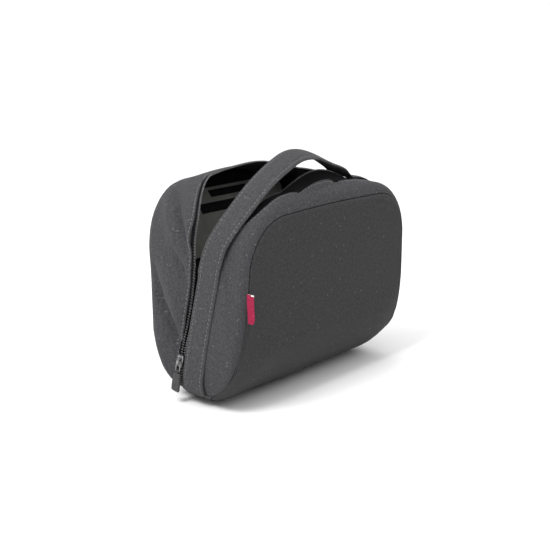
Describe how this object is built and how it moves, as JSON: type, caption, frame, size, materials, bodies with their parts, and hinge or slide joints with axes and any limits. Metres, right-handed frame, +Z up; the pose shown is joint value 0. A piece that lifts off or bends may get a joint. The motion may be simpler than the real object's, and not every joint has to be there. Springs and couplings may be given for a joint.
{
  "type": "bicycle handlebar bag",
  "caption": "Soft handlebar bag standing with its zip open at the top, with a strap handle, a hanging zip pull and a slotted board inside.",
  "frame": {"origin": "on the flat underside of the bag, in the middle of its width, near where the closed zip's line meets the bottom", "axes": "+Z up as the bag stands, -Y out of the front panel, +Y out of the back that faces the handlebar, -X to the side with the zip slider"},
  "size_m": [0.2825, 0.1625, 0.2515],
  "materials": {
    "front_cloth": "smooth charcoal cloth, matte",
    "side_cloth": "charcoal cloth with a fine weave, matte",
    "strap_cloth": "charcoal cloth strap with stitched edges, matte",
    "zip_tape": "black woven tape",
    "zip_coil": "dark plastic coil, slightly glossy",
    "slider_metal": "plated metal",
    "tab_rubber": "matte moulded rubber",
    "label_cloth": "plain crimson woven tab",
    "board_plastic": "pale grey board",
    "plate_plastic": "black moulded plastic"
  },
  "bodies": {
    "bag": {"front_panel": "front_cloth", "front_gusset": "side_cloth", "back_gusset": "side_cloth", "back_panel": "side_cloth", "bottom_panel": "side_cloth", "front_zip_tape": "zip_tape", "back_zip_tape": "zip_tape", "front_zip_coil": "zip_coil", "back_zip_coil": "zip_coil", "zip_slider": "slider_metal", "carry_strap": "strap_cloth", "side_label": "label_cloth", "inner_board": "board_plastic", "mount_plate": "plate_plastic"},
    "zip_pull": {"pull_link": "slider_metal", "pull_tab": "tab_rubber"}
  },
  "joints": [
    {"name": "zip_pull_swing", "type": "hinge", "parent": "bag", "child": "zip_pull", "pos_m": [-0.14011, -0.00684, 0.04651], "axis": [0, 0.9824, 0.1867], "range_deg": [0, 150]}
  ]
}
